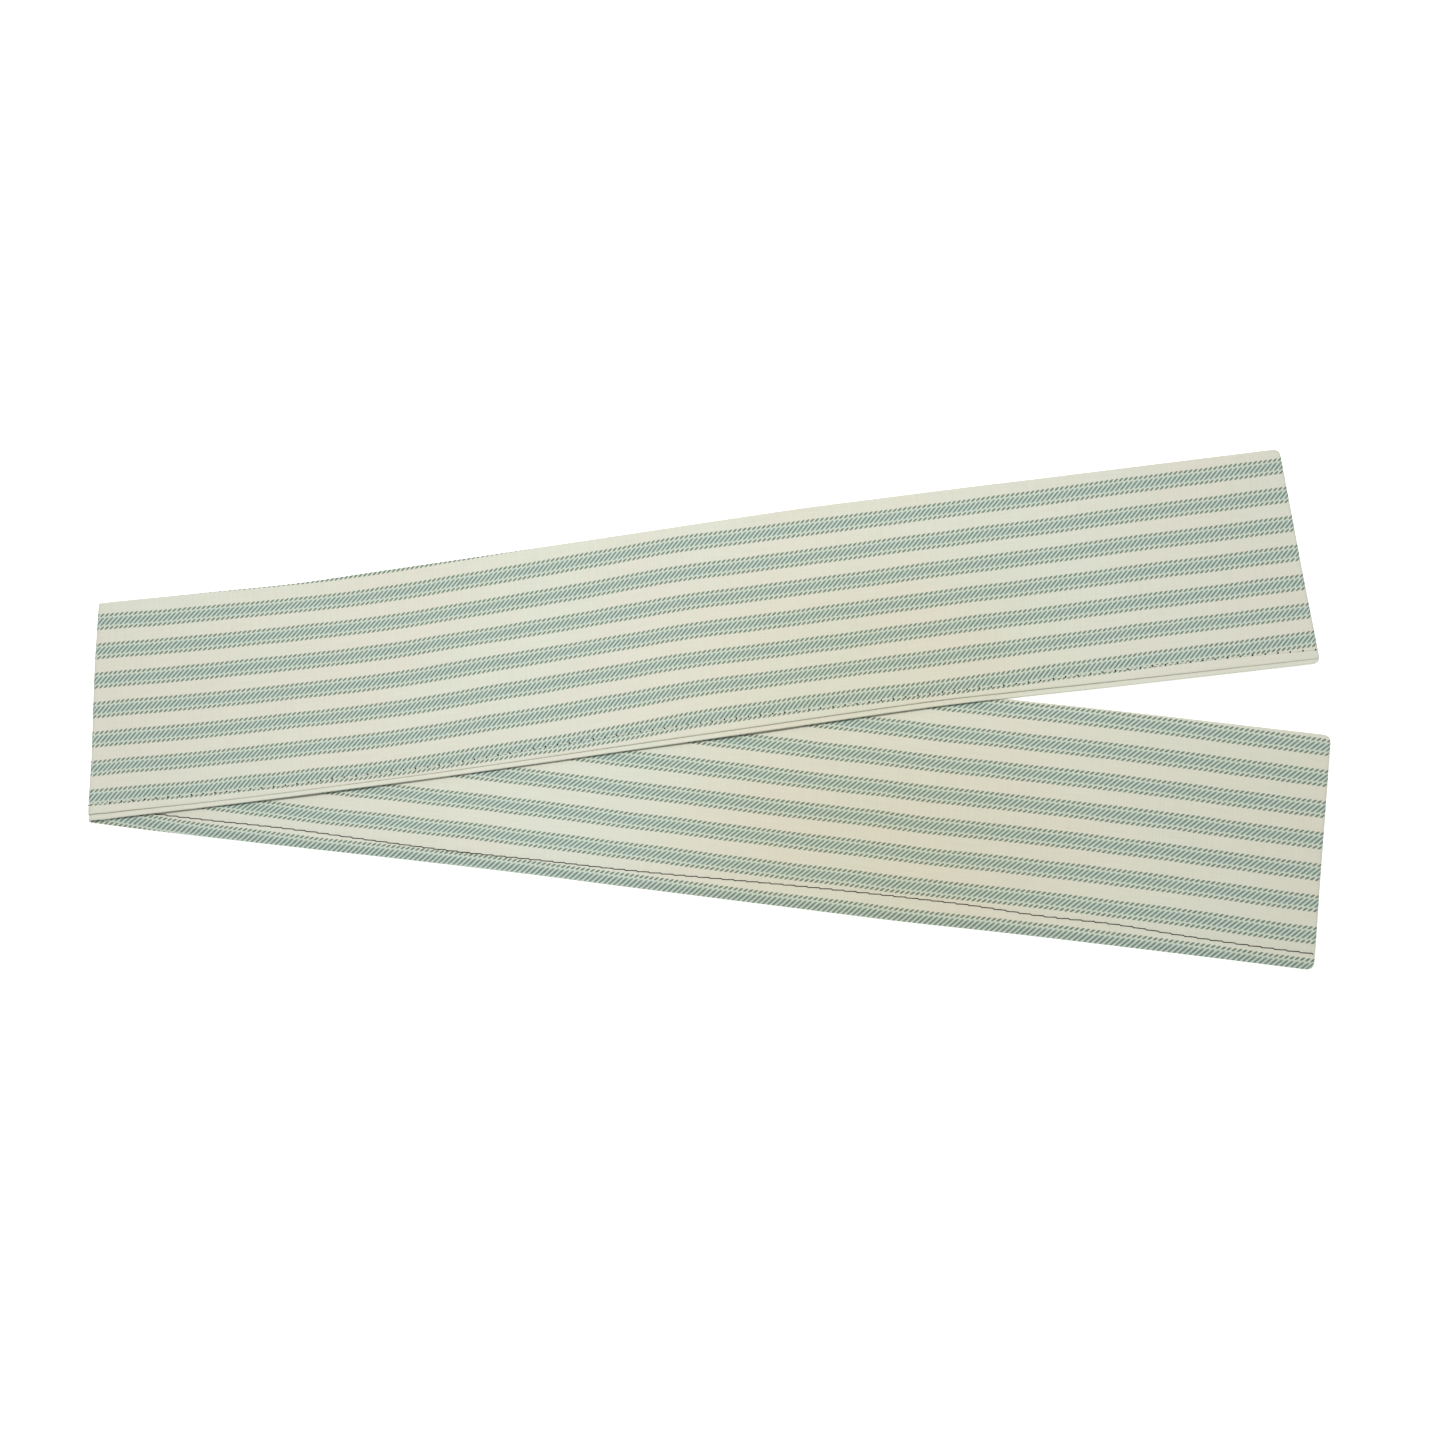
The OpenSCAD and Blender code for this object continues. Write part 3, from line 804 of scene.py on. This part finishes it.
    rough = g.m("MULTIPLY_ADD", yarn, 0.06, 0.80)
    g.nt.links.new(rough, g.bsdf.inputs["Roughness"])
    h = g.m("ADD", g.m("MULTIPLY", weave, 0.35), g.m("MULTIPLY", cells, 0.65))
    h = g.m("ADD", h, g.m("MULTIPLY", yarn, 0.5))
    soft = g.m("ADD", g.noise(g.xyz(s, P), 0.11, 3.0, 0.5), g.m("MULTIPLY", g.noise(g.xyz(s, P), 0.35, 2.0), 0.35))
    bn = g.bump(soft, 0.00035, 0.6)
    bn = g.bump(h, 0.00009, 0.8, bn)
    g.nt.links.new(bn, g.bsdf.inputs["Normal"])
    g.bsdf.inputs["Sheen Weight"].default_value = 0.18
    g.bsdf.inputs["Sheen Roughness"].default_value = 0.5
    g.bsdf.inputs["Specular IOR Level"].default_value = 0.25
    return g.mat


def thread(name, c1, c2, sheen=0.15, spec=0.3):
    g = Graph(name)
    u, v = g.uv("thread_m")
    # two plies twisted together
    tw = g.m("ADD", g.m("MULTIPLY", u, 2 * math.pi / 0.0011), g.m("MULTIPLY", v, 2 * math.pi))
    tws = g.m("SINE", tw)
    fz = g.noise(g.xyz(g.m("MULTIPLY", u, 1000.0), g.m("MULTIPLY", v, 3.0)), 2.5, 2.0)
    f = g.m("ADD", g.m("MULTIPLY_ADD", tws, 0.3, 0.35), g.m("MULTIPLY", fz, 0.35))
    col = g.mix(g.smooth(f, 0.1, 0.9), lin(*c1), lin(*c2))
    g.nt.links.new(col, g.bsdf.inputs["Base Color"])
    g.nt.links.new(g.m("MULTIPLY_ADD", fz, 0.1, 0.6), g.bsdf.inputs["Roughness"])
    g.nt.links.new(g.bump(g.m("ADD", tws, fz), 0.00005, 0.8), g.bsdf.inputs["Normal"])
    g.bsdf.inputs["Sheen Weight"].default_value = sheen
    g.bsdf.inputs["Specular IOR Level"].default_value = spec
    return g.mat


CREAM, CREAM_WARM, CREAM_DARK = (218, 221, 207), (221, 219, 205), (205, 204, 187)
MINT = (195, 210, 197)
HATCH, HATCH2 = (110, 132, 127), (127, 147, 139)
DOT, DOT2 = (105, 121, 106), (119, 135, 119)

ticking_mat = ticking()
cream_thread = thread("needle_thread", (202, 205, 190), (226, 228, 214))
dark_thread = thread("bobbin_thread", (10, 14, 14), (30, 37, 35), sheen=0.02, spec=0.15)

cloth.data.materials.clear()
cloth.data.materials.append(ticking_mat)
for o, m_ in ((needle, cream_thread), (bobbin, dark_thread)):
    o.data.materials.append(m_)
for (half, kind), o in seams.items():
    o.data.materials.append(cream_thread if kind == "needle" else dark_thread)
node_mat = {"cloth": ticking_mat, "needle_thread": cream_thread, "bobbin_thread": dark_thread}
for nm, o in frame["nodes"].items():
    m_ = dark_thread if nm.endswith("bobbin_thread") else cream_thread if nm.endswith("needle_thread") else ticking_mat
    o.data.materials.clear()
    o.data.materials.append(m_)

# --------------------------------------------------------------------------
# What moves with what, and what stands for what
# --------------------------------------------------------------------------
for o in (cloth, needle, bobbin):
    follow_fold(o)
for (half, kind), o in seams.items():
    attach(o, f"{half}_half")
    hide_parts(f"{half}_end_seam_{kind}_thread")

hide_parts("lower_half_cloth", "centre_fold_cloth", "upper_half_cloth")
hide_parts("lower_half_needle_thread", "upper_half_needle_thread")
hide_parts("lower_half_bobbin_thread", "upper_half_bobbin_thread")


# --------------------------------------------------------------------------
# Floor and light
# --------------------------------------------------------------------------
def stage():
    me = bpy.data.meshes.new("floor")
    r = 12.0
    me.from_pydata([(-r, -r, 0), (r, -r, 0), (r, r, 0), (-r, r, 0)], [], [(0, 1, 2, 3)])
    floor = bpy.data.objects.new("floor", me)
    floor.location.z = -0.0002
    bpy.context.scene.collection.objects.link(floor)
    g = Graph("floor_paper")
    tc = g.nt.nodes.new("ShaderNodeTexCoord")
    n = g.noise(tc.outputs["Object"], 3.0, 3.0)
    g.nt.links.new(g.mix(n, lin(246, 246, 245), lin(250, 250, 249)), g.bsdf.inputs["Base Color"])
    g.bsdf.inputs["Roughness"].default_value = 0.9
    g.bsdf.inputs["Specular IOR Level"].default_value = 0.1
    # a sheet lit from below, as in a light table
    g.bsdf.inputs["Emission Color"].default_value = (1.0, 1.0, 0.995, 1.0)
    g.bsdf.inputs["Emission Strength"].default_value = 0.6
    me.materials.append(g.mat)

    world = bpy.data.worlds.new("studio")
    bpy.context.scene.world = world
    world.use_nodes = True
    bg = world.node_tree.nodes["Background"]
    bg.inputs[0].default_value = (0.985, 0.995, 1.0, 1.0)
    bg.inputs[1].default_value = 0.42

    def area(name, loc, target, size, power, color):
        li = bpy.data.lights.new(name, "AREA")
        li.shape = "RECTANGLE"
        li.size, li.size_y = size
        li.energy = power
        li.color = color
        ob = bpy.data.objects.new(name, li)
        ob.location = loc
        ob.rotation_euler = (Vector(target) - Vector(loc)).to_track_quat("-Z", "Y").to_euler()
        bpy.context.scene.collection.objects.link(ob)

    area("key", (-0.03, 0.14, 0.80), (-0.01, -0.01, 0), (0.20, 0.16), 4.93, (1.0, 0.993, 0.97))


stage()
sc = bpy.context.scene
sc.view_settings.view_transform = "Standard"
sc.view_settings.look = "None"
sc.view_settings.exposure = 0.0
